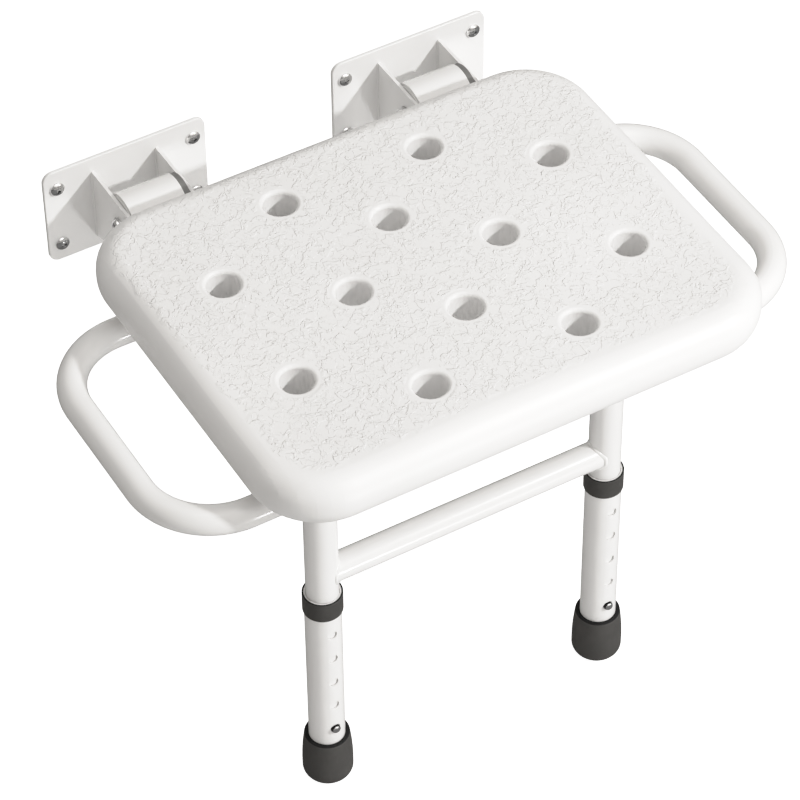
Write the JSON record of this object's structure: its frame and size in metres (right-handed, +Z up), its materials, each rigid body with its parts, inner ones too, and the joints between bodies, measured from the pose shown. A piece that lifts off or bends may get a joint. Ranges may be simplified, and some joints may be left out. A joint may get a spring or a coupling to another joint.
{
  "type": "fold-up shower seat",
  "caption": "Wall-hinged fold-up shower seat: perforated moulded board on a tube frame with side handles, hinged wall plates and hanging telescopic front legs.",
  "frame": {"origin": "On the floor, at the middle of the bounding box's bottom: half way across, and half way from the seat's front edge to the wall screws' tips.", "axes": "+X to the right seen from the front, along the wall, so left_ pieces are at -X; +Y towards the wall; +Z up."},
  "size_m": [0.5326, 0.4112, 0.431],
  "materials": {
    "white_paint": "gloss white powder coat",
    "seat_plastic": "moulded, crackle-grained top, smooth rim",
    "black_plastic": "satin moulded plastic",
    "rubber": "matt charcoal rubber",
    "chrome": "polished plate",
    "steel": "zinc plate",
    "nylon": "dark moulded nylon"
  },
  "bodies": {
    "wall_brackets": {"left_wall_plate": "white_paint", "left_wall_screws": "chrome", "left_hinge_ears": "white_paint", "left_hinge_washers": "steel", "right_wall_plate": "white_paint", "right_wall_screws": "chrome", "right_hinge_ears": "white_paint", "right_hinge_washers": "steel", "hinge_bolts": "chrome", "hinge_nuts": "chrome"},
    "seat": {"seat_board": "seat_plastic", "front_cross_tube": "white_paint", "rear_cross_tube": "white_paint", "seat_screws": "steel", "rail_end_caps": "black_plastic", "leg_pivot_bolts": "steel", "leg_pivot_nuts": "steel", "left_side_rail": "white_paint", "left_hinge_barrel": "white_paint", "left_hinge_bushes": "nylon", "left_handle": "white_paint", "left_leg_cheeks": "white_paint", "right_side_rail": "white_paint", "right_hinge_barrel": "white_paint", "right_hinge_bushes": "nylon", "right_handle": "white_paint", "right_leg_cheeks": "white_paint"},
    "leg_frame": {"left_upper_leg": "white_paint", "left_button_spring": "steel", "right_upper_leg": "white_paint", "right_button_spring": "steel", "leg_cross_bar": "white_paint", "leg_pivot_bushes": "nylon", "leg_top_plugs": "black_plastic"},
    "left_telescope": {"left_lower_leg": "white_paint", "left_leg_collar": "black_plastic", "left_rubber_foot": "rubber", "left_foot_washer": "steel"},
    "left_button": {"left_snap_button": "chrome"},
    "right_telescope": {"right_lower_leg": "white_paint", "right_leg_collar": "black_plastic", "right_rubber_foot": "rubber", "right_foot_washer": "steel"},
    "right_button": {"right_snap_button": "chrome"}
  },
  "joints": [
    {"name": "seat_fold", "type": "hinge", "parent": "wall_brackets", "child": "seat", "pos_m": [0, 0.14625, 0.3855], "axis": [-1, 0, 0], "range_deg": [0, 90]},
    {"name": "leg_fold", "type": "hinge", "parent": "seat", "child": "leg_frame", "pos_m": [0, -0.09875, 0.3385], "axis": [1, 0, 0], "range_deg": [0, 90]},
    {"name": "left_leg_slide", "type": "slide", "parent": "leg_frame", "child": "left_telescope", "axis": [0, 0, -1], "range_m": [0, 0.1056], "deforming": ["left_snap_button"]},
    {"name": "right_leg_slide", "type": "slide", "parent": "leg_frame", "child": "right_telescope", "axis": [0, 0, -1], "range_m": [0, 0.1056], "deforming": ["right_snap_button"]},
    {"name": "left_button_press", "type": "slide", "parent": "leg_frame", "child": "left_button", "axis": [0, 1, 0], "range_m": [0, 0.0045], "stiffness_N_per_m": 400, "springref_m": -0.005, "deforming": ["left_button_spring"]},
    {"name": "right_button_press", "type": "slide", "parent": "leg_frame", "child": "right_button", "axis": [0, 1, 0], "range_m": [0, 0.0045], "stiffness_N_per_m": 400, "springref_m": -0.005, "deforming": ["right_button_spring"]}
  ],
  "couplings": [
    {"joint": "leg_fold", "follows": "seat_fold", "ratio": 1}
  ]
}
